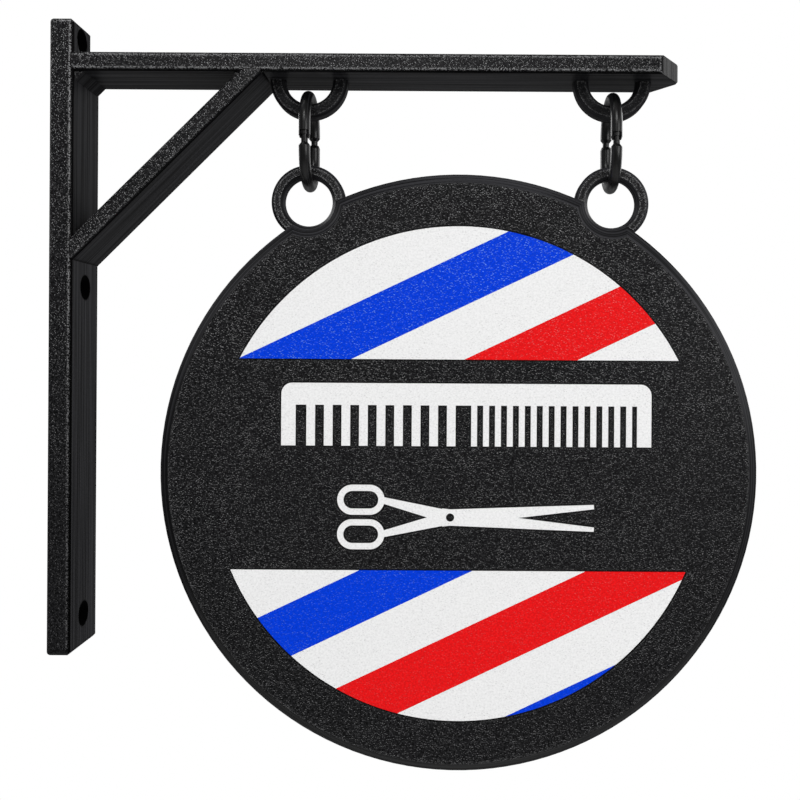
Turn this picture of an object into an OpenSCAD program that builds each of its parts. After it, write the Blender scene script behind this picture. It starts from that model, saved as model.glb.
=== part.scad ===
// Projecting barber's sign: a wall bracket, two snap links and a striped disc that hangs from them.
// Millimetres. The origin is the centre of the face that lies on the wall.
// +X points away from the wall, +Y to the back of the sign and +Z up.

/* [Wall post] */
// Height of the post
post_h = 200; // [185:5:240]
// Thickness of the post, out from the wall
post_t = 7.4; // [6:0.2:10]
// Depth of the post, the arm and the brace, along Y
bracket_d = 22.6; // [20:0.2:30]
// Height of the tab that stands above the arm
tab_h = 10.4; // [9.6:0.2:16]
// Depth of that tab, counted from the front face
tab_d = 15.2; // [12:0.2:18]
// Bevel along the edges of the bracket
edge_bevel = 0.9; // [0.4:0.1:1.2]

/* [Arm and brace] */
// Thickness of the arm
arm_t = 5.9; // [5:0.1:9]
// Length of the pointed end of the arm, seen from above
arm_nose = 6.8; // [4:0.2:8]
// Width of the blunt edge at the point of the arm
arm_nose_edge = 0.8; // [0.4:0.1:3]
// Length of the arm beyond the middle of the right loop
arm_overhang = 21.4; // [20.4:0.2:40]
// Drop of the brace's upper edge below the arm, at the post
brace_drop = 51.6; // [40:0.2:70]
// Thickness of the brace
brace_t = 5.6; // [4:0.1:9]
// Width of the flat that blunts the sharp corners above the brace
root_flat = 1.5; // [0.8:0.1:2.5]
// Legs of the small block in the inner corner
block_leg = 2.8; // [1.5:0.1:6]
// Set-back of that block and of the flats behind the front and back faces
block_inset = 1.6; // [1.3:0.1:4]

/* [Screw holes] */
// Bore for the wall screws
screw_bore = 4.5; // [3.5:0.1:5.5]
// Width of the countersink
screw_head = 8; // [6.5:0.1:8.4]
// Distance from the post's top end to the top screw
top_screw_drop = 5.2; // [5:0.1:5.6]
// Distance from the brace's lower edge to the middle screw
middle_screw_gap = 7.9; // [6:0.1:20]
// Distance from the post's bottom end to the lower screw
bottom_screw_rise = 10.5; // [7:0.5:25]

/* [Hanger loops] */
// Distance between the two hangers
hanger_pitch = 98; // [80:1:120]
// Radius of the hole in a loop
loop_hole_r = 7.6; // [7:0.1:9]
// Width of the band of a loop
loop_band = 4.9; // [4:0.1:6]
// Thickness of the loops and the ears, along Y
ring_t = 5.4; // [4.8:0.1:5.4]
// Bevel on the outer edges of the loops and the ears
ring_bevel = 0.9; // [0.4:0.1:1.2]
// Bevel on the edges of their holes, across the band
hole_bevel = 1.2; // [1:0.1:1.6]
// The same bevel, along Y
hole_bevel_deep = 2; // [1.8:0.1:2.3]
// Free space between the brace's foot and the left loop
loop_gap = 0.6; // [0.3:0.1:5]

/* [Links] */
// Thickness of a link's round bar
wire_d = 3.7; // [3.5:0.1:4]
// Inside radius of a link's two bows
link_bow_r = 8.7; // [8.4:0.1:10]
// Length of the straight legs between the bows
link_leg = 7.6; // [7.2:0.2:14]
// Free space between a link and the ring it hangs on
hang_slack = 0.4; // [0.3:0.05:0.8]
// Length of the open neck where two link halves meet
neck_gap = 3.4; // [3:0.1:3.6]
// Distance of each neck above or below the middle of the link
neck_stagger = 1.75; // [1.5:0.05:1.9]
// Thickness of the neck
neck_d = 2.2; // [2:0.05:2.3]
// Width of the head on the neck
head_d = 2.8; // [2.6:0.05:2.9]
// Height of the head
head_h = 1.2; // [1:0.05:1.6]
// Length of the bevels beside the neck
neck_bevel = 1; // [0.8:0.05:1.1]
// Width of the socket at its mouth
mouth_d = 2.95; // [2.85:0.05:3.1]
// Clearance of the snap joint on each side
snap_clearance = 0.05; // [0.03:0.01:0.1]

/* [Sign disc] */
// Radius of the disc
disc_r = 96; // [90:1:105]
// Thickness of the disc
disc_t = 12; // [12:0.2:16]
// Bevel round both faces of the disc
disc_bevel = 3.3; // [1.5:0.1:3.3]
// Radius of the hole in an ear
ear_hole_r = 7.7; // [7:0.1:9]
// Width of the band of an ear
ear_band = 4.2; // [3.6:0.1:5.5]
// Distance from the disc's rim out to the middle of an ear's hole
ear_standoff = 3.8; // [2.5:0.1:6]

/* [Striped windows] */
// Width of the dark rim round the striped windows
rim_w = 17; // [12:0.5:22]
// Distance from the upper window's top down to its straight edge
upper_chord = 42.8; // [34:0.1:46]
// Distance from the lower window's bottom up to its straight edge
lower_chord = 48.2; // [39:0.1:51]
// Rise of the stripes, in degrees
stripe_angle = 25.5; // [20:0.5:30]
// Width of one stripe
stripe_w = 15.5; // [13:0.1:16.5]
// Height of the white cap above the first stripe
top_cap = 15.9; // [12:0.1:20]
// Height of the blue corner below the last stripe
bottom_cap = 2.6; // [1.5:0.1:8]
// Depth of the coloured inlays
inlay_t = 2; // [1:0.1:3]
// Gap between the inlays and the edges of their pockets
inlay_gap = 0.15; // [0.1:0.05:0.3]
// Gap between neighbouring stripes
stripe_gap = 0.02; // [0.02:0.02:0.2]

/* [Comb inlay] */
// Length of the comb
comb_l = 118; // [100:1:122]
// Height of the comb
comb_h = 20; // [14:0.5:22]
// Height of the comb's back
comb_back = 7; // [4:0.5:9]
// Width of the comb's end teeth
comb_guard = 4.6; // [3:0.1:6]
// Pitch of the wide teeth
wide_pitch = 5.6; // [4.6:0.1:8]
// Pitch of the narrow teeth
narrow_pitch = 3.8; // [3:0.1:4.6]
// Height of the comb's middle above the disc's middle
comb_rise = 18.7; // [17:0.1:20]
// Shift of both inlays towards the arm's free end
inlay_shift = 2.4; // [-4:0.1:4]

/* [Scissors inlay] */
// Length of the scissors
scissors_l = 82; // [70:1:90]
// Length of the blades, from the pivot to the tip
blade_l = 46; // [40:1:52]
// Width of a blade at the pivot
blade_w = 5.4; // [4:0.1:6.5]
// Width of a blade at its tip
blade_tip = 1.4; // [0.8:0.1:3]
// Half of the angle between the blades
blade_open = 4.5; // [3:0.5:8]
// Outer radius of a finger ring
finger_r = 4.8; // [4.2:0.1:5.1]
// Width of the band of a finger ring
finger_band = 2; // [1.4:0.1:2.6]
// Extra length of a finger ring
finger_long = 5.5; // [2:0.5:7]
// Half of the distance between the finger rings
finger_apart = 5.5; // [5.2:0.1:6.5]
// Radius of the dark dot at the pivot
pivot_dot_r = 1.3; // [0.8:0.1:1.8]
// Depth of the scissors' middle below the disc's middle
scissors_drop = 14; // [13:0.1:17]

/* [Hidden] */
$fn = 96;
fine_fn = 240;
front = 0;
back = 180;
eps = 0.5;

post_top = post_h / 2;
arm_top = post_top - tab_h;
arm_under = arm_top - arm_t;
front_y = -bracket_d / 2;
brace_along = brace_t * sqrt(2);
brace_low = arm_under - brace_drop - brace_along;

loop_r = loop_hole_r + loop_band;
left_x = post_t + brace_drop + brace_along + loop_gap + loop_r;
right_x = left_x + hanger_pitch;
arm_end = right_x + arm_overhang;

bow_c = link_bow_r + wire_d / 2;
loop_seat = arm_under - loop_hole_r;
upper_bow_z = loop_seat + hang_slack - link_bow_r;
link_z = upper_bow_z - link_leg / 2;
lower_bow_z = upper_bow_z - link_leg;
ear_seat = lower_bow_z - link_bow_r + hang_slack;

ear_r = ear_hole_r + ear_band;
ear_z = ear_seat - ear_hole_r;
ear_reach = disc_r + ear_standoff;
disc_x = left_x + hanger_pitch / 2;
disc_z = ear_z - sqrt(ear_reach * ear_reach - hanger_pitch * hanger_pitch / 4);

window_r = disc_r - rim_w;
stripe_reach = 2 * window_r;
shank_w = 0.8 * blade_w;

BLACK = [0.07, 0.07, 0.075];
WHITE = [0.9, 0.9, 0.89];
BLUE = [0.03, 0.2, 0.75];
RED = [0.85, 0.05, 0.05];

// A rectangle with bevelled corners, from its lowest to its highest corner.
module bevelled_2d(low, high, bevel) {
  polygon([
    [low[0] + bevel, low[1]], [high[0] - bevel, low[1]],
    [high[0], low[1] + bevel], [high[0], high[1] - bevel],
    [high[0] - bevel, high[1]], [low[0] + bevel, high[1]],
    [low[0], high[1] - bevel], [low[0], low[1] + bevel]
  ]);
}

// A flat shape drawn in X and Z, given a thickness that is centred on Y = 0.
module upright(thickness) {
  rotate([90, 0, 0])
    linear_extrude(thickness, center = true)
      children();
}

// A flat shape drawn in Y and Z, stretched along X from x0 to x1.
module sideways(x0, x1) {
  translate([x0, 0, 0])
    rotate([90, 0, 90])
      linear_extrude(x1 - x0)
        children();
}

// One countersunk screw hole along X, open at the wall and wide at the outer face.
module screw_hole(y, z) {
  sink = (screw_head - screw_bore) / 2;
  translate([0, y, z])
    rotate([0, 90, 0]) {
      translate([0, 0, -eps])
        cylinder(h = post_t + 2 * eps, d = screw_bore);
      translate([0, 0, post_t - sink])
        cylinder(h = sink + eps, d1 = screw_bore, d2 = screw_head + 2 * eps);
    }
}

// Side view of the post: full depth up to the arm, and a shallower tab above it.
module post_side_2d() {
  back_y = bracket_d / 2;
  tab_y = front_y + tab_d;
  polygon([
    [front_y + edge_bevel, -post_top], [back_y - edge_bevel, -post_top],
    [back_y, -post_top + edge_bevel], [back_y, arm_top - edge_bevel],
    [back_y - edge_bevel, arm_top], [tab_y, arm_top],
    [tab_y, post_top - edge_bevel], [tab_y - edge_bevel, post_top],
    [front_y + edge_bevel, post_top], [front_y, post_top - edge_bevel],
    [front_y, -post_top + edge_bevel]
  ]);
}

// The bar of the post below the tab, bevelled on its long edges.
module post_bar() {
  translate([0, 0, -post_top])
    linear_extrude(arm_top + post_top)
      bevelled_2d([0, front_y], [post_t, -front_y], edge_bevel);
}

module bracket_post() {
  color(BLACK)
    difference() {
      intersection() {
        sideways(0, post_t)
          post_side_2d();
        upright(bracket_d)
          bevelled_2d([0, -post_top], [post_t, post_top], edge_bevel);
        union() {
          post_bar();
          translate([0, 0, arm_top])
            linear_extrude(tab_h)
              bevelled_2d([0, front_y], [post_t, front_y + tab_d], edge_bevel);
        }
      }
      screw_hole(front_y + tab_d / 2, post_top - top_screw_drop);
      screw_hole(0, brace_low - middle_screw_gap);
      screw_hole(0, bottom_screw_rise - post_top);
    }
}

// The arm, pointed at its free end as seen from above. At its root it follows the post's
// bevels, so that their front faces run into each other.
module bracket_arm() {
  nose_x = arm_end - arm_nose;
  side_y = bracket_d / 2 - edge_bevel;
  nose_rise = arm_nose * arm_nose_edge / (2 * side_y - arm_nose_edge);
  corner = arm_nose_edge / 2;
  color(BLACK)
    intersection() {
      translate([0, 0, arm_under - eps])
        linear_extrude(arm_t + 2 * eps)
          polygon([
            [post_t, -side_y], [post_t - edge_bevel - eps, front_y - eps],
            [nose_x - edge_bevel - eps, front_y - eps], [nose_x, -side_y],
            [arm_end + nose_rise, 0], [nose_x, side_y],
            [nose_x - edge_bevel - eps, eps - front_y],
            [post_t - edge_bevel - eps, eps - front_y], [post_t, side_y]
          ]);
      sideways(0, arm_end + eps)
        bevelled_2d([front_y, arm_under], [-front_y, arm_top], edge_bevel);
      upright(bracket_d + 2 * eps)
        polygon([
          [0, arm_under - eps], [arm_end - corner - eps, arm_under - eps],
          [arm_end, arm_under + corner], [arm_end, arm_top - corner],
          [arm_end - corner - eps, arm_top + eps], [0, arm_top + eps]
        ]);
    }
}

// The brace, a bevelled bar at 45 degrees. Its ends follow the bevels of the post and the
// arm, and small flats blunt the two sharp corners above it.
module bracket_brace() {
  span = brace_drop + brace_along;
  upper = arm_under - brace_drop;
  foot_x = post_t + brace_drop;
  side_y = bracket_d / 2 - edge_bevel;
  edge = edge_bevel + eps;
  color(BLACK) {
    intersection() {
      translate([post_t, 0, brace_low])
        rotate([0, -45, 0])
          sideways(-brace_t, sqrt(2) * span + brace_t)
            bevelled_2d([front_y, 0], [-front_y, brace_t], edge_bevel);
      translate([0, 0, brace_low - brace_t])
        linear_extrude(span + 2 * brace_t)
          polygon([
            [post_t, side_y], [post_t - edge, side_y + edge], [post_t + 2 * span, side_y + edge],
            [post_t + 2 * span, -side_y - edge], [post_t - edge, -side_y - edge],
            [post_t, -side_y]
          ]);
      sideways(0, 2 * span)
        polygon([
          [-side_y, arm_under], [-side_y - edge, arm_under + edge], [-side_y - edge, -post_top],
          [side_y + edge, -post_top], [side_y + edge, arm_under + edge], [side_y, arm_under]
        ]);
    }
    upright(bracket_d - 2 * block_inset) {
      polygon([
        [post_t, upper + root_flat], [post_t, upper - root_flat],
        [post_t + root_flat, upper], [post_t + root_flat, upper + root_flat]
      ]);
      polygon([
        [foot_x - root_flat, arm_under], [foot_x - root_flat, arm_under - root_flat],
        [foot_x, arm_under - root_flat], [foot_x + root_flat, arm_under]
      ]);
    }
  }
}

// The small three-cornered block where the post meets the arm.
module corner_block() {
  color(BLACK)
    upright(bracket_d - 2 * block_inset)
      polygon([
        [post_t, arm_under], [post_t, arm_under - block_leg], [post_t + block_leg, arm_under]
      ]);
}

// Cross-section of a loop or an ear, bevelled on its outer edges and at its hole.
module ring_section_2d(hole_r, outer_r) {
  half = ring_t / 2;
  polygon([
    [hole_r, hole_bevel_deep - half], [hole_r + hole_bevel, -half],
    [outer_r - ring_bevel, -half], [outer_r, ring_bevel - half],
    [outer_r, half - ring_bevel], [outer_r - ring_bevel, half],
    [hole_r + hole_bevel, half], [hole_r, half - hole_bevel_deep]
  ]);
}

module ring(x, z, hole_r, outer_r) {
  translate([x, 0, z])
    rotate([90, 0, 0])
      rotate_extrude()
        ring_section_2d(hole_r, outer_r);
}

// A half ring under the arm.
module loop(x) {
  color(BLACK)
    intersection() {
      ring(x, arm_under, loop_hole_r, loop_r);
      translate([x - loop_r - eps, -ring_t, arm_under - loop_r - eps])
        cube([2 * (loop_r + eps), 2 * ring_t, loop_r + eps]);
    }
}

module left_loop() loop(left_x);
module right_loop() loop(right_x);

// Half of a link, about the middle of the link: a bow with a socket on its front leg
// and a necked pin on its back leg.
module link_half() {
  half_leg = link_leg / 2;
  mouth_z = neck_gap / 2 - neck_stagger - neck_bevel;
  socket_z = mouth_z + neck_bevel;
  shoulder_z = neck_stagger + neck_gap / 2;
  head_top = -socket_z;
  slot_w = neck_d + 2 * snap_clearance;
  pocket_w = head_d + 2 * snap_clearance;
  pocket_h = head_h + 2 * snap_clearance;
  difference() {
    union() {
      translate([0, 0, half_leg])
        rotate([90, 0, 90])
          rotate_extrude(angle = 180)
            translate([bow_c, 0])
              circle(d = wire_d);
      translate([0, -bow_c, socket_z])
        cylinder(h = half_leg - socket_z, d = wire_d);
      translate([0, -bow_c, mouth_z])
        cylinder(h = neck_bevel, d1 = mouth_d, d2 = wire_d);
    }
    translate([0, -bow_c, mouth_z - eps]) {
      cylinder(h = neck_bevel + 2 * eps, d = slot_w);
      translate([-slot_w / 2, -wire_d, 0])
        cube([slot_w, wire_d, neck_bevel + 2 * eps]);
    }
    translate([0, -bow_c, socket_z]) {
      cylinder(h = pocket_h, d = pocket_w);
      translate([-pocket_w / 2, -wire_d, 0])
        cube([pocket_w, wire_d, pocket_h]);
    }
  }
  translate([0, bow_c, shoulder_z])
    cylinder(h = half_leg - shoulder_z, d = wire_d);
  translate([0, bow_c, shoulder_z - neck_bevel])
    cylinder(h = neck_bevel, d1 = neck_d, d2 = wire_d);
  translate([0, bow_c, head_top - snap_clearance])
    cylinder(h = shoulder_z - neck_bevel - head_top + snap_clearance, d = neck_d);
  translate([0, bow_c, head_top - snap_clearance - head_h])
    cylinder(h = head_h, d = head_d);
}

// Both halves of a link are the same piece, the lower one turned end for end.
module link(x, turn) {
  color(BLACK)
    translate([x, 0, link_z])
      rotate([turn, 0, 0])
        link_half();
}

module left_link_upper() link(left_x, 0);
module left_link_lower() link(left_x, 180);
module right_link_upper() link(right_x, 0);
module right_link_lower() link(right_x, 180);

// The round hole of an ear, which opens into a wide cone where it cuts the thicker disc.
module ear_hole(x) {
  half = ring_t / 2;
  face = disc_t / 2;
  slope = (ear_r - ear_hole_r - hole_bevel) / (face - half);
  translate([x, 0, ear_z])
    rotate([90, 0, 0])
      rotate_extrude()
        polygon([
          [0, -face - eps], [ear_r + slope * eps, -face - eps],
          [ear_hole_r + hole_bevel, -half], [ear_hole_r, hole_bevel_deep - half],
          [ear_hole_r, half - hole_bevel_deep], [ear_hole_r + hole_bevel, half],
          [ear_r + slope * eps, face + eps], [0, face + eps]
        ]);
}

// An ear is a ring cut off along the rim of the disc.
module ear(x) {
  color(BLACK)
    difference() {
      ring(x, ear_z, ear_hole_r, ear_r);
      translate([disc_x, 0, disc_z])
        rotate([90, 0, 0])
          cylinder(h = 2 * ring_t, r = disc_r, center = true, $fn = fine_fn);
    }
}

module left_ear() ear(left_x);
module right_ear() ear(right_x);

// A window is a slice of a circle above or below the dark band, drawn smaller by trim.
module window_2d(upper, trim) {
  chord = window_r - (upper ? upper_chord : lower_chord) + trim;
  intersection() {
    circle(r = window_r - trim, $fn = fine_fn);
    translate([-stripe_reach, upper ? chord : -chord - stripe_reach])
      square([2 * stripe_reach, stripe_reach]);
  }
}

// The part of a window between two distances from the disc's middle, across the stripes.
module stripe_2d(upper, low, high) {
  intersection() {
    window_2d(upper, inlay_gap);
    rotate(stripe_angle)
      translate([-stripe_reach, low + stripe_gap / 2])
        square([2 * stripe_reach, high - low - stripe_gap]);
  }
}

// Edge number i between stripes, counted down from the top of the upper window and up from
// the bottom of the lower one.
function upper_edge(i) = window_r - top_cap - i * stripe_w;
function lower_edge(i) = bottom_cap - window_r + i * stripe_w;

function comb_left() = -comb_l / 2 + comb_guard;
function wide_count() = floor((comb_l / 2 - comb_guard) / wide_pitch);
function narrow_count() = floor((comb_l / 2 - comb_guard) / narrow_pitch);

module comb_teeth_2d(count, pitch, start, grow) {
  tooth = pitch / 2;
  for (i = [0 : count - 1])
    translate([start + i * pitch + tooth / 2 - grow, -comb_h / 2 - grow])
      square([tooth + 2 * grow, comb_h - comb_back / 2 + grow]);
}

// A barber's comb with wide teeth on one half and narrow ones on the other.
module comb_2d(grow) {
  back_y = comb_h / 2 - comb_back / 2;
  end_x = comb_l / 2 - comb_back / 2;
  wide_start = comb_left() + (comb_l / 2 - comb_guard - wide_count() * wide_pitch) / 2;
  narrow_start = (comb_l / 2 - comb_guard - narrow_count() * narrow_pitch) / 2;
  translate([-end_x, back_y - comb_back / 2 - grow])
    square([2 * end_x, comb_back + 2 * grow]);
  for (side = [-1, 1]) {
    translate([side * end_x, back_y])
      circle(d = comb_back + 2 * grow);
    translate([side * (comb_l / 2 - comb_guard / 2) - comb_guard / 2 - grow, -comb_h / 2 - grow])
      square([comb_guard + 2 * grow, comb_h - comb_back / 2 + grow]);
  }
  comb_teeth_2d(wide_count(), wide_pitch, wide_start, grow);
  comb_teeth_2d(narrow_count(), narrow_pitch, narrow_start, grow);
}

// A bar from a to b that tapers from width wa to width wb.
module taper_2d(a, b, wa, wb, grow) {
  along = (b - a) / norm(b - a);
  across = [-along[1], along[0]];
  start = a - along * grow;
  end = b + along * grow;
  polygon([
    start - across * (wa / 2 + grow), end - across * (wb / 2 + grow),
    end + across * (wb / 2 + grow), start + across * (wa / 2 + grow)
  ]);
}

// A bar with round ends, lying along X.
module stadium_2d(length, r) {
  translate([-length / 2, -r])
    square([length, 2 * r]);
  for (side = [-1, 1])
    translate([side * length / 2, 0])
      circle(r = r);
}

// One finger ring of the scissors, or its hole, as a bar with round ends.
module finger_2d(side, r) {
  translate([finger_r + finger_long / 2 - scissors_l / 2, -side * finger_apart])
    stadium_2d(finger_long, r);
}

// Half a pair of scissors: one blade, and the shank and ring across the pivot from it.
module scissors_half_2d(side, grow) {
  pivot = [scissors_l / 2 - blade_l, 0];
  along = [cos(blade_open), side * sin(blade_open)];
  shank_end = finger_long + 2 * finger_r - finger_band / 2 - scissors_l / 2;
  taper_2d(pivot - blade_w / 2 * along, pivot + blade_l * along, blade_w, blade_tip, grow);
  taper_2d(pivot, [shank_end, -side * finger_apart], shank_w, finger_band, grow);
  finger_2d(side, finger_r + grow);
}

module scissors_2d(grow) {
  difference() {
    union() {
      scissors_half_2d(1, grow);
      scissors_half_2d(-1, grow);
    }
    finger_2d(1, finger_r - finger_band - grow);
    finger_2d(-1, finger_r - finger_band - grow);
    translate([scissors_l / 2 - blade_l, 0])
      circle(r = pivot_dot_r - grow);
  }
}

module comb_in_place_2d(grow) {
  translate([inlay_shift, comb_rise])
    comb_2d(grow);
}

module scissors_in_place_2d(grow) {
  translate([inlay_shift, -scissors_drop])
    scissors_2d(grow);
}

// A flat shape sunk into one face of the disc; the back face is the front one turned round.
module in_face(face, depth) {
  translate([disc_x, 0, disc_z])
    rotate([0, 0, face])
      translate([0, depth - disc_t / 2, 0])
        rotate([90, 0, 0])
          children();
}

module face_pockets(face) {
  in_face(face, inlay_t)
    linear_extrude(inlay_t + eps) {
      window_2d(true, 0);
      window_2d(false, 0);
      comb_in_place_2d(inlay_gap);
      scissors_in_place_2d(inlay_gap);
    }
}

module sign_disc() {
  face = disc_t / 2;
  color(BLACK)
    difference() {
      translate([disc_x, 0, disc_z])
        rotate([90, 0, 0])
          rotate_extrude($fn = fine_fn)
            polygon([
              [0, -face], [disc_r - disc_bevel, -face], [disc_r, disc_bevel - face],
              [disc_r, face - disc_bevel], [disc_r - disc_bevel, face], [0, face]
            ]);
      ear_hole(left_x);
      ear_hole(right_x);
      face_pockets(front);
      face_pockets(back);
    }
}

// One stripe of a window, lying in its pocket.
module stripe(face, upper, low, high, paint) {
  color(paint)
    in_face(face, inlay_t)
      linear_extrude(inlay_t)
        stripe_2d(upper, low, high);
}

module upper_white_top(face) stripe(face, true, upper_edge(0), window_r, WHITE);
module upper_blue(face) stripe(face, true, upper_edge(1), upper_edge(0), BLUE);
module upper_white_middle(face) stripe(face, true, upper_edge(2), upper_edge(1), WHITE);
module upper_red(face) stripe(face, true, upper_edge(3), upper_edge(2), RED);
module upper_white_bottom(face) stripe(face, true, -window_r, upper_edge(3), WHITE);

module lower_white_top(face) stripe(face, false, lower_edge(4), window_r, WHITE);
module lower_blue(face) stripe(face, false, lower_edge(3), lower_edge(4), BLUE);
module lower_white_middle(face) stripe(face, false, lower_edge(2), lower_edge(3), WHITE);
module lower_red(face) stripe(face, false, lower_edge(1), lower_edge(2), RED);
module lower_white_bottom(face) stripe(face, false, lower_edge(0), lower_edge(1), WHITE);
module lower_blue_corner(face) stripe(face, false, -window_r, lower_edge(0), BLUE);

module comb(face) {
  color(WHITE)
    in_face(face, inlay_t)
      linear_extrude(inlay_t)
        comb_in_place_2d(0);
}

module scissors(face) {
  color(WHITE)
    in_face(face, inlay_t)
      linear_extrude(inlay_t)
        scissors_in_place_2d(0);
}

bracket_post();
bracket_arm();
bracket_brace();
corner_block();
left_loop();
right_loop();
left_link_upper();
left_link_lower();
right_link_upper();
right_link_lower();
sign_disc();
left_ear();
right_ear();
upper_white_top(front);  // front_upper_white_top
upper_blue(front);  // front_upper_blue
upper_white_middle(front);  // front_upper_white_middle
upper_red(front);  // front_upper_red
upper_white_bottom(front);  // front_upper_white_bottom
lower_white_top(front);  // front_lower_white_top
lower_blue(front);  // front_lower_blue
lower_white_middle(front);  // front_lower_white_middle
lower_red(front);  // front_lower_red
lower_white_bottom(front);  // front_lower_white_bottom
lower_blue_corner(front);  // front_lower_blue_corner
comb(front);  // front_comb
scissors(front);  // front_scissors
upper_white_top(back);  // back_upper_white_top
upper_blue(back);  // back_upper_blue
upper_white_middle(back);  // back_upper_white_middle
upper_red(back);  // back_upper_red
upper_white_bottom(back);  // back_upper_white_bottom
lower_white_top(back);  // back_lower_white_top
lower_blue(back);  // back_lower_blue
lower_white_middle(back);  // back_lower_white_middle
lower_red(back);  // back_lower_red
lower_white_bottom(back);  // back_lower_white_bottom
lower_blue_corner(back);  // back_lower_blue_corner
comb(back);  // back_comb
scissors(back);  // back_scissors
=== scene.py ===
"""Looks of the hanging barber's sign: printed plastic, soft light and the photograph's camera."""

import math

import bpy
from mathutils import Matrix, Vector

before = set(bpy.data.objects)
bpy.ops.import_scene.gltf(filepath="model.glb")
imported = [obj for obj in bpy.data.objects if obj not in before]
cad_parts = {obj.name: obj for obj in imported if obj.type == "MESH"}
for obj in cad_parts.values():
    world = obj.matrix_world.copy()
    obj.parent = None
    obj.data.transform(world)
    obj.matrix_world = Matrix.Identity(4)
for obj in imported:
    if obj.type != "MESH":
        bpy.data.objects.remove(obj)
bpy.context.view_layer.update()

MM = 0.001

# The photograph's camera, fitted to the bracket and the disc: pixels of the 800 x 800 picture.
PICTURE_PX = 800
FOCAL_PX = 950
CENTRE_PX = (454.5, 359.3)
CAMERA_AT = (0.12754, -0.3088, -0.0063)
CAMERA_ROLL = 0.006
SENSOR_MM = 36.0
CLIP_START = 0.01

# Light: the grey of the room, and the softboxes with their places, sides and watts.
ROOM_GREY = 0.26
LAMP_AIM = (0.11, 0.0, -0.02)
LAMPS = (
    ("key", (-0.05, -1.15, 0.8), 0.4, 8.4),
    ("fill", (1.0, -1.15, 0.2), 0.6, 7.6),
    ("top", (-0.4, 0.05, 1.0), 0.6, 2.0),
    ("side", (1.3, 0.1, 0.3), 0.7, 2.2),
    ("back_left", (-0.9, 1.1, 0.6), 0.8, 9.5),
    ("back_right", (1.3, 1.1, 0.4), 0.8, 7.5),
)

# The floor, which fades into the white background between two shares of its radius.
FLOOR_AT = (0.11, 0.0, -0.6)
FLOOR_R = 0.9
FLOOR_FADE = (0.55, 0.97)
FLOOR_GREYS = (0.88, 0.92)
FLOOR_SCALE = 9.0
FLOOR_SIDES = 96

# Linear colours of the plastics, and of the dashes in their grain. The light dashes on black, blue
# and red are painted glints; those on white are darker.
BLACK = (0.0075, 0.0075, 0.0082)
BLACK_GLINT = (0.7, 0.7, 0.71)
WHITE = (0.88, 0.88, 0.88)
WHITE_SPECK = (0.58, 0.58, 0.58)
BLUE = (0.0, 0.044, 0.69)
BLUE_GLINT = (0.26, 0.5, 0.98)
RED = (0.8, 0.0075, 0.009)
RED_GLINT = (1.0, 0.24, 0.24)

# The post's screw holes, painted dark as shade: y and z of their axes, the radius of their mouths,
# and the shares of it between which the painted shade begins.
SCREW_HOLES = ((-3.7 * MM, 94.8 * MM), (0.0, 16.28 * MM), (0.0, -89.5 * MM))
SCREW_HEAD_R = 4.0 * MM
SHADE_RIM = (1.02, 0.98)

# A dash in the plate grain: half its length and half its width as shares of the grain's cell, the
# range from its bright core to its rim, and the power that makes bright dashes rare.
DASH_LENGTH = 0.5
DASH_WIDTH = 0.14
DASH_CORE = (0.4, 1.0)
DASH_RARITY = 4.6
SMALLER_CELL = 0.9

# Noise scales, per metre, and the ranges of the noise over which each effect grows. Layers have
# two scales: beside the layer axis and along it.
BROAD_SCALE = 60.0
BROAD_RANGE = (0.3, 0.7)
BROAD_GAINS = (0.75, 1.0)
CLOUD_SCALE = 1500.0
CLOUD_RANGE = (0.35, 0.65)
DOT_SCALE = 2200.0
DOT_RANGE = (0.42, 0.58)
LINE_SCALES = (6.0, 3000.0)
STREAK_SCALES = (18.0, 1400.0)
STREAK_SHIFT = (7.1, 3.3, 1.7)
STREAK_RANGE = (0.3, 0.7)
LAYER_RANGE = (0.87, 1.13)
LAYER_MM = 0.01

# How far a surface faces along the layer axis: 1 on a face, 0.7 on a bevel and 0 on a side.
FACE = (0.93, 0.99)
GRAINY_BEVEL = (0.6, 0.68)
BEVEL = (0.45, 0.53)

# How alike the true and the rounded normal are near an edge, from none of an effect to all of it.
BEVEL_SAMPLES = 6
EDGE = (0.995, 0.975)
OUTLINE = (0.997, 0.97)
SHADE_LINE_WIDTH = 0.025

# Parts of the rounded normal at an edge (rightward, frontward) and of the true normal.
# They pick the edges with painted highlights and the bevels left in painted shade.
NOT_LEFTWARD = (-0.06, -0.02)
FRONT_EDGE = (0.74, 0.8)
OUTER_HALF = (0.76, 0.7)
LOW_OR_RIGHT = (0.5, 0.3)
RIGHT_END = (0.6, 0.65)

# Brightness against the plastic's own colour: the layers' darkest and lightest, the power by which
# the bevels' painted light falls off downward, and painted shade at edges, outlines and screw
# holes.
SIDE_GAINS = (0.5, 1.8)
BEVEL_GAINS = (0.4, 1.6)
BEVEL_LIGHT_POWER = 2.7
SHADE_LINE_GAIN = 0.1
OUTLINE_SHADE_GAIN = 0.15
HOLE_SHADE_GAIN = 0.05

# Roughness added to the plastic's own.
BETWEEN_DASHES = 0.05
ON_DASHES = -0.05
BETWEEN_STREAKS = 0.12
ON_STREAKS = -0.04


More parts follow.
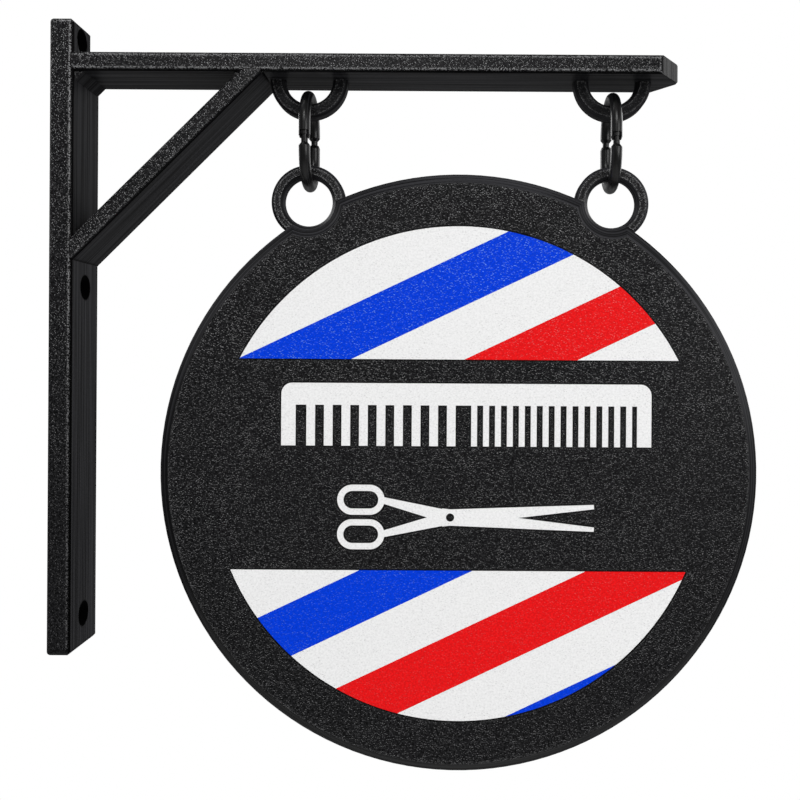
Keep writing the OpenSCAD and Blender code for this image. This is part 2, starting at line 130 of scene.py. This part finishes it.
class Tree:
    """Short calls that add nodes to a material or a world."""

    def __init__(self, owner):
        owner.use_nodes = True
        self.nodes = owner.node_tree.nodes
        self.links = owner.node_tree.links
        self.nodes.clear()

    def add(self, kind, inputs=None, **settings):
        node = self.nodes.new(kind)
        for key, value in settings.items():
            setattr(node, key, value)
        for key, value in (inputs or {}).items():
            if isinstance(value, bpy.types.NodeSocket):
                self.links.new(value, node.inputs[key])
            else:
                node.inputs[key].default_value = value
        return node

    def maths(self, operation, a, b=0.0):
        return self.add("ShaderNodeMath", {0: a, 1: b}, operation=operation).outputs[0]

    def product(self, *factors):
        result = factors[0]
        for factor in factors[1:]:
            result = self.maths("MULTIPLY", result, factor)
        return result

    def rest(self, share):
        """What share leaves of 1."""
        return self.maths("SUBTRACT", 1.0, share)

    def step(self, value, low, high, to_low=0.0, to_high=1.0):
        """A smooth step of value, from to_low at low to to_high at high."""
        sockets = {"Value": value, "From Min": low, "From Max": high,
                   "To Min": to_low, "To Max": to_high}
        return self.add("ShaderNodeMapRange", sockets, interpolation_type="SMOOTHSTEP").outputs[0]

    def noise(self, vector, scale, detail):
        sockets = {"Vector": vector, "Scale": scale, "Detail": detail}
        return self.add("ShaderNodeTexNoise", sockets).outputs["Fac"]

    def stretched(self, vector, scale, shift=(0.0, 0.0, 0.0)):
        sockets = {"Vector": vector, "Scale": scale, "Location": shift}
        return self.add("ShaderNodeMapping", sockets).outputs[0]

    def parts(self, vector):
        """The three parts of a vector."""
        return self.add("ShaderNodeSeparateXYZ", {0: vector}).outputs

    def vector(self, operation, *inputs):
        """A sum, product or difference of vectors."""
        node = self.add("ShaderNodeVectorMath", dict(enumerate(inputs)), operation=operation)
        return node.outputs["Vector"]

    def measure(self, operation, *inputs):
        """A number measured on vectors: a length, a distance or a dot product."""
        node = self.add("ShaderNodeVectorMath", dict(enumerate(inputs)), operation=operation)
        return node.outputs["Value"]

    def mixed(self, share, a, b):
        """Colour a, turned to colour b where share is 1."""
        return self.add("ShaderNodeMix", {0: share, 6: a, 7: b}, data_type="RGBA").outputs[2]


def rgba(colour, gain=1.0):
    return (colour[0] * gain, colour[1] * gain, colour[2] * gain, 1.0)


def grey(value):
    return (value, value, value, 1.0)


def dashes(tree, flat, turn, cell):
    """One short thin dash in each cell of an uneven net: 1 or less on the dash, 0 beside it."""
    sockets = {"Vector": flat, "Rotation": (0.0, 0.0, turn), "Scale": (cell, cell, 1.0)}
    place = tree.add("ShaderNodeMapping", sockets, vector_type="TEXTURE").outputs[0]
    net = tree.add("ShaderNodeTexVoronoi", {"Vector": place, "Scale": 1.0}, voronoi_dimensions="2D")
    offset = tree.vector("SUBTRACT", place, net.outputs["Position"])
    scaled = tree.vector("MULTIPLY", offset, (1.0 / DASH_LENGTH, 1.0 / DASH_WIDTH, 0.0))
    dash = tree.step(tree.measure("LENGTH", scaled), *DASH_CORE, 1.0, 0.0)
    chance = tree.parts(net.outputs["Color"])[0]
    return tree.product(dash, tree.maths("POWER", chance, DASH_RARITY))


def plate_grain(tree, place, axis, turns, cell_mm):
    """The grain of a textured printing plate: its dashes' height, and their brightness for painted
    glints.
    """
    parts = tree.parts(place)
    across = [parts[i] for i in range(3) if i != axis]
    flat = tree.add("ShaderNodeCombineXYZ", {0: across[0], 1: across[1]}).outputs[0]
    rising = dashes(tree, flat, turns[0], SMALLER_CELL * cell_mm * MM)
    falling = dashes(tree, flat, turns[1], cell_mm * MM)
    crests = tree.maths("MAXIMUM", rising, falling)
    broad = tree.step(tree.noise(place, BROAD_SCALE, 2.0), *BROAD_RANGE, *BROAD_GAINS)
    return crests, tree.product(crests, broad)


def layer_streaks(tree, place, axis):
    """Layer lines stacked along one axis of the part, and the uneven streaks between them."""
    fine, coarse = ([along if i == axis else beside for i in range(3)]
                    for beside, along in (LINE_SCALES, STREAK_SCALES))
    lines = tree.noise(tree.stretched(place, fine), 1.0, 1.0)
    streaks = tree.noise(tree.stretched(place, coarse, STREAK_SHIFT), 1.0, 3.0)
    return lines, streaks


def screw_hole_shade_mask(tree, place):
    """1 inside the post's screw holes, where shade is painted, 0 outside them."""
    flat = tree.vector("MULTIPLY", place, (0.0, 1.0, 1.0))
    nearest = 2 * SCREW_HEAD_R
    for y, z in SCREW_HOLES:
        nearest = tree.maths("MINIMUM", tree.measure("DISTANCE", flat, (0.0, y, z)), nearest)
    return tree.step(nearest, SHADE_RIM[0] * SCREW_HEAD_R, SHADE_RIM[1] * SCREW_HEAD_R)


def edge_likeness(tree, radius):
    """1 away from edges, less within the radius of one: 0.92 at a blunt edge, 0.7 at a square one.

    The other values are how far the rounded edge faces to the right, and to the front or back.
    """
    rounded = tree.add("ShaderNodeBevel", {"Radius": radius}, samples=BEVEL_SAMPLES).outputs[0]
    true_normal = tree.add("ShaderNodeNewGeometry").outputs["Normal"]
    parts = tree.parts(rounded)
    likeness = tree.measure("DOT_PRODUCT", rounded, true_normal)
    return likeness, parts[0], tree.maths("ABSOLUTE", parts[1])


def grainy_bevel_mask(tree, facing, normal, frontward, dark_end):
    """1 on bevels with plate grain. The outer half of those below or at the right has none: painted
    shade.
    """
    low_or_right = tree.step(tree.maths("SUBTRACT", normal[2], normal[0]), *LOW_OR_RIGHT)
    dark = tree.product(tree.step(frontward, *OUTER_HALF), low_or_right)
    if dark_end:
        dark = tree.maths("MAXIMUM", dark, tree.step(normal[0], *RIGHT_END))
    return tree.product(tree.step(facing, *GRAINY_BEVEL), tree.rest(dark))


def layer_colour(tree, colour, layers, bevel, height_light, side_gain, bevel_gain):
    """The streaked colour of sides and bevels, with painted light; the bevels' is painted darker
    lower down.
    """
    share = tree.step(layers, *LAYER_RANGE)

    def streaked(dark, light):
        return tree.mixed(share, rgba(colour, dark), rgba(colour, light))

    on_side = streaked(*(side_gain * gain for gain in SIDE_GAINS))
    on_bevel = streaked(*(bevel_gain * gain for gain in BEVEL_GAINS))
    sockets = {0: on_bevel, "Scale": tree.maths("POWER", height_light, BEVEL_LIGHT_POWER)}
    faded = tree.add("ShaderNodeVectorMath", sockets, operation="SCALE").outputs["Vector"]
    return tree.mixed(bevel, on_side, faded)


def surface_roughness(tree, roughness, face, specks, streaks):
    """Roughness of faces and sides: dashes and light streaks are a little smoother."""
    on_face = tree.step(specks, 0.0, 1.0, roughness + BETWEEN_DASHES, roughness + ON_DASHES)
    on_side = tree.step(streaks, *STREAK_RANGE, roughness + BETWEEN_STREAKS, roughness + ON_STREAKS)
    return tree.maths("ADD", tree.product(face, on_face), tree.product(tree.rest(face), on_side))


def printed_plastic(name, colour, speck, *, side_gain, speck_share, edge_highlight_share=0.0, edge_mm=1.0,
                    shade_line_at=0.6, grain_mm=0.08, cell_mm=0.8, turns=(0.3, -0.35), mottle=0.1,
                    roughness=0.34, specular=0.06, side_specular=0.02, bevel_gain=1.0,
                    layer_axis=1, light_by_height=(-0.1, 0.1, 1.0, 1.0), foot=None, shaded_screw_holes=False,
                    grainy_bevels=False, dark_end=False):
    """Printed plastic: plate grain on the faces along the layer axis, layer lines elsewhere.

    side_gain, bevel_gain: brightness of the sides and of the bevels, set per part as painted light
    speck_share, edge_highlight_share: strength of the dashes' colour on faces and of painted
    highlight dots along edges
    edge_mm, shade_line_at: width of an edge, and the likeness below which it gets a dark line of
    painted shade
    grain_mm, cell_mm, turns: height and spacing of the dashes, and their two directions
    mottle: unevenness of the colour between the dashes
    specular, side_specular: reflection of the faces and of all else
    light_by_height: two heights on the part, and the painted light on dashes, edge dots and bevels
    at each
    foot: two heights on the part, from no dashes at the lower one to all at the upper one
    grainy_bevels: whether the grain runs over the bevels, where dark_end keeps it off the end, left
    in painted shade
    """
    material = bpy.data.materials.new(name)
    tree = Tree(material)
    coordinates = tree.add("ShaderNodeTexCoord").outputs
    place = coordinates["Object"]
    normal = tree.parts(coordinates["Normal"])
    facing = tree.maths("ABSOLUTE", normal[layer_axis])
    height_on_part = tree.parts(place)[2]
    # Painted light: dashes, edge dots and bevels are lighter toward the top of the part.
    height_light = tree.step(height_on_part, *light_by_height)
    face = tree.step(facing, *FACE)
    crests, specks = plate_grain(tree, place, layer_axis, turns, cell_mm)
    lines, streaks = layer_streaks(tree, place, layer_axis)
    layers = tree.maths("ADD", lines, streaks)

    # Painted glints: the share of the dash colour, by dash, part and height (on white the dashes
    # are darker).
    light = tree.product(specks, height_light, speck_share)
    cloud = tree.step(tree.noise(place, CLOUD_SCALE, 1.0), *CLOUD_RANGE)
    low = tree.mixed(cloud, rgba(colour, 1.0 - mottle), rgba(colour, 1.0 + mottle))
    bevel = tree.step(facing, *BEVEL)
    side_colour = layer_colour(tree, colour, layers, bevel, height_light, side_gain, bevel_gain)
    if edge_highlight_share:
        likeness, rightward, frontward = edge_likeness(tree, edge_mm * MM)
        # Painted shade: a dark line along the sharper edges, where no glints are painted either.
        shade_line = tree.step(likeness, shade_line_at, shade_line_at - SHADE_LINE_WIDTH)
        # Painted highlights: light dots along edges; with grainy bevels only on edges that don't
        # face left, near the front or back, and lighter higher up.
        near = tree.product(tree.step(likeness, *EDGE),
                            tree.step(likeness, shade_line_at - SHADE_LINE_WIDTH, shade_line_at))
        if grainy_bevels:
            near = tree.product(near, tree.step(rightward, *NOT_LEFTWARD), height_light,
                                tree.step(frontward, *FRONT_EDGE))
            grainy = grainy_bevel_mask(tree, facing, normal, frontward, dark_end)
            face = tree.maths("MAXIMUM", face, grainy)
            # Painted shade: sides and bevels darken right at their edges.
            outline_shade = tree.step(likeness, *OUTLINE)
            side_colour = tree.mixed(outline_shade, side_colour, rgba(colour, OUTLINE_SHADE_GAIN))
        dots = tree.step(tree.noise(place, DOT_SCALE, 0.0), *DOT_RANGE)
        light = tree.maths("MAXIMUM", light, tree.product(near, dots, edge_highlight_share))
        light = tree.product(light, tree.rest(shade_line))
        low = tree.mixed(shade_line, low, rgba(colour, SHADE_LINE_GAIN))
    if foot:
        light = tree.product(light, tree.step(height_on_part, *foot))
    whole_colour = tree.mixed(face, side_colour, tree.mixed(light, low, rgba(speck)))
    rough = surface_roughness(tree, roughness, face, specks, streaks)
    if shaded_screw_holes:
        # Painted shade: the holes' inside is coloured near black, and made fully rough so it
        # doesn't shine.
        inside = screw_hole_shade_mask(tree, place)
        whole_colour = tree.mixed(inside, whole_colour, rgba(colour, HOLE_SHADE_GAIN))
        rough = tree.maths("MAXIMUM", rough, inside)

    height = tree.maths("ADD", tree.product(face, grain_mm, crests),
                        tree.product(tree.rest(face), LAYER_MM, layers))
    bump = tree.add("ShaderNodeBump", {"Height": height, "Distance": MM, "Strength": 1.0})
    shader = tree.add("ShaderNodeBsdfPrincipled", {
        "Base Color": whole_colour,
        "Roughness": rough,
        "Specular IOR Level": tree.step(facing, *FACE, side_specular, specular),
        "Normal": bump.outputs[0],
    })
    tree.add("ShaderNodeOutputMaterial", {"Surface": shader.outputs[0]})
    return material


def paint(nodes, material):
    """Gives CAD nodes one material."""
    for name in nodes:
        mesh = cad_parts[name].data
        mesh.materials.clear()
        mesh.materials.append(material)


def place_in_scene(name, data):
    obj = bpy.data.objects.new(name, data)
    bpy.context.scene.collection.objects.link(obj)
    return obj


def softbox(name, place, side, watts):
    """A square lamp that looks at the sign."""
    lamp = bpy.data.lights.new(name, "AREA")
    lamp.size = side
    lamp.energy = watts
    box = place_in_scene(name, lamp)
    box.location = place
    box.rotation_euler = (Vector(LAMP_AIM) - Vector(place)).to_track_quat("-Z", "Y").to_euler()


def make_world():
    """Soft even light from all round, and plain white behind the object."""
    world = bpy.data.worlds.new("studio")
    bpy.context.scene.world = world
    tree = Tree(world)
    seen = tree.add("ShaderNodeLightPath").outputs["Is Camera Ray"]
    room = tree.add("ShaderNodeBackground", {"Color": grey(ROOM_GREY)})
    white = tree.add("ShaderNodeBackground", {"Color": grey(1.0)})
    both = tree.add("ShaderNodeMixShader", {0: seen, 1: room.outputs[0], 2: white.outputs[0]})
    tree.add("ShaderNodeOutputWorld", {"Surface": both.outputs[0]})


def make_floor():
    """A pale round floor under the hanging sign. Its rim fades into the white background."""
    material = bpy.data.materials.new("floor")
    tree = Tree(material)
    position = tree.add("ShaderNodeNewGeometry").outputs["Position"]
    seen = tree.add("ShaderNodeLightPath").outputs["Is Camera Ray"]
    apart = tree.measure("DISTANCE", position, FLOOR_AT)
    rim = tree.step(apart, FLOOR_FADE[0] * FLOOR_R, FLOOR_FADE[1] * FLOOR_R)
    mottle = tree.noise(position, FLOOR_SCALE, 4.0)
    colour = tree.mixed(mottle, *(grey(value) for value in FLOOR_GREYS))
    floor = tree.add("ShaderNodeBsdfDiffuse", {"Color": colour})
    white = tree.add("ShaderNodeEmission", {"Color": grey(1.0)})
    sockets = {0: tree.product(rim, seen), 1: floor.outputs[0], 2: white.outputs[0]}
    both = tree.add("ShaderNodeMixShader", sockets)
    tree.add("ShaderNodeOutputMaterial", {"Surface": both.outputs[0]})

    x, y, z = FLOOR_AT
    angles = [2 * math.pi * i / FLOOR_SIDES for i in range(FLOOR_SIDES)]
    ring = [(x + FLOOR_R * math.cos(a), y + FLOOR_R * math.sin(a), z) for a in angles]
    mesh = bpy.data.meshes.new("floor")
    mesh.from_pydata(ring, [], [list(range(FLOOR_SIDES))])
    mesh.materials.append(material)
    obj = place_in_scene("floor", mesh)


def make_camera():
    """The photograph's camera."""
    camera = bpy.data.cameras.new("camera")
    camera.sensor_width = SENSOR_MM
    camera.lens = FOCAL_PX / PICTURE_PX * camera.sensor_width
    camera.shift_x = (PICTURE_PX / 2 - CENTRE_PX[0]) / PICTURE_PX
    camera.shift_y = (CENTRE_PX[1] - PICTURE_PX / 2) / PICTURE_PX
    camera.clip_start = CLIP_START
    obj = place_in_scene("camera", camera)
    upright = Matrix.Rotation(math.radians(90), 4, "X") @ Matrix.Rotation(CAMERA_ROLL, 4, "Z")
    obj.matrix_world = Matrix.Translation(CAMERA_AT) @ upright
    bpy.context.scene.camera = obj


loops = ["corner_block", "left_loop", "right_loop"]
links = ["left_link_upper", "left_link_lower", "right_link_upper", "right_link_lower"]
ears = ["left_ear", "right_ear"]
inlays = [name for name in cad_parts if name.startswith(("front_", "back_"))]
blues = [name for name in inlays if "blue" in name]
reds = [name for name in inlays if "red" in name]
whites = [name for name in inlays if name not in blues + reds]

# Painted light: all black parts are one plastic; their side and bevel gains and dash and edge
# shares differ to paint the light and shade each part gets. The inlays' sides are painted dark as
# shade.
on_bracket = {"turns": (0.7, -0.9), "mottle": 0.7, "bevel_gain": 0.3, "grainy_bevels": True}
on_stripe = {"side_gain": 0.15, "grain_mm": 0.06, "light_by_height": (-0.12, 0.05, 0.35, 1.05)}

paint(["bracket_post"], printed_plastic(
    "black_post", BLACK, BLACK_GLINT, **on_bracket, side_gain=2.3, speck_share=0.7,
    edge_highlight_share=0.4, cell_mm=0.66, shaded_screw_holes=True,
    light_by_height=(-0.1, 0.1, 0.28, 1.15), foot=(-98.2 * MM, -97.5 * MM)))
paint(["bracket_arm"], printed_plastic(
    "black_arm", BLACK, BLACK_GLINT, **on_bracket, side_gain=1.75, speck_share=0.9,
    edge_highlight_share=0.35, cell_mm=0.6, specular=0.08, dark_end=True))
paint(["bracket_brace"], printed_plastic(
    "black_brace", BLACK, BLACK_GLINT, **on_bracket, side_gain=1.6, speck_share=0.95,
    edge_highlight_share=0.12, cell_mm=0.6, specular=0.08))
paint(loops, printed_plastic(
    "black_loop", BLACK, BLACK_GLINT, side_gain=1.5, speck_share=0.13, edge_highlight_share=0.12,
    grain_mm=0.04, mottle=0.4, roughness=0.45, specular=0.04, bevel_gain=1.4))
paint(["sign_disc"], printed_plastic(
    "black_plate", BLACK, BLACK_GLINT, side_gain=1.5, speck_share=0.55, edge_highlight_share=0.12,
    edge_mm=1.4, shade_line_at=0.96, cell_mm=0.6, turns=(0.25, -0.3), mottle=0.7, specular=0.07,
    bevel_gain=1.7, light_by_height=(-0.14, 0.05, 0.75, 1.4)))
paint(ears, printed_plastic(
    "black_ear", BLACK, BLACK_GLINT, side_gain=1.8, speck_share=0.55, edge_highlight_share=0.35,
    shade_line_at=0.88, cell_mm=0.62, turns=(0.6, -0.8), mottle=0.7, specular=0.12, bevel_gain=3.0))
paint(links, printed_plastic(
    "black_link", BLACK, BLACK_GLINT, side_gain=0.25, speck_share=0.03, grain_mm=0.02,
    roughness=0.26, specular=0.3, side_specular=0.3, layer_axis=0))
paint(blues, printed_plastic("blue_inlay", BLUE, BLUE_GLINT, **on_stripe, speck_share=0.95))
paint(reds, printed_plastic("red_inlay", RED, RED_GLINT, **on_stripe, speck_share=0.9))
paint(whites, printed_plastic(
    "white_inlay", WHITE, WHITE_SPECK, side_gain=0.15, speck_share=1.0, grain_mm=0.05,
    mottle=0.04, roughness=0.4, specular=0.1))

make_world()
for lamp_values in LAMPS:
    softbox(*lamp_values)
make_floor()
make_camera()
bpy.context.scene.view_settings.view_transform = "Standard"
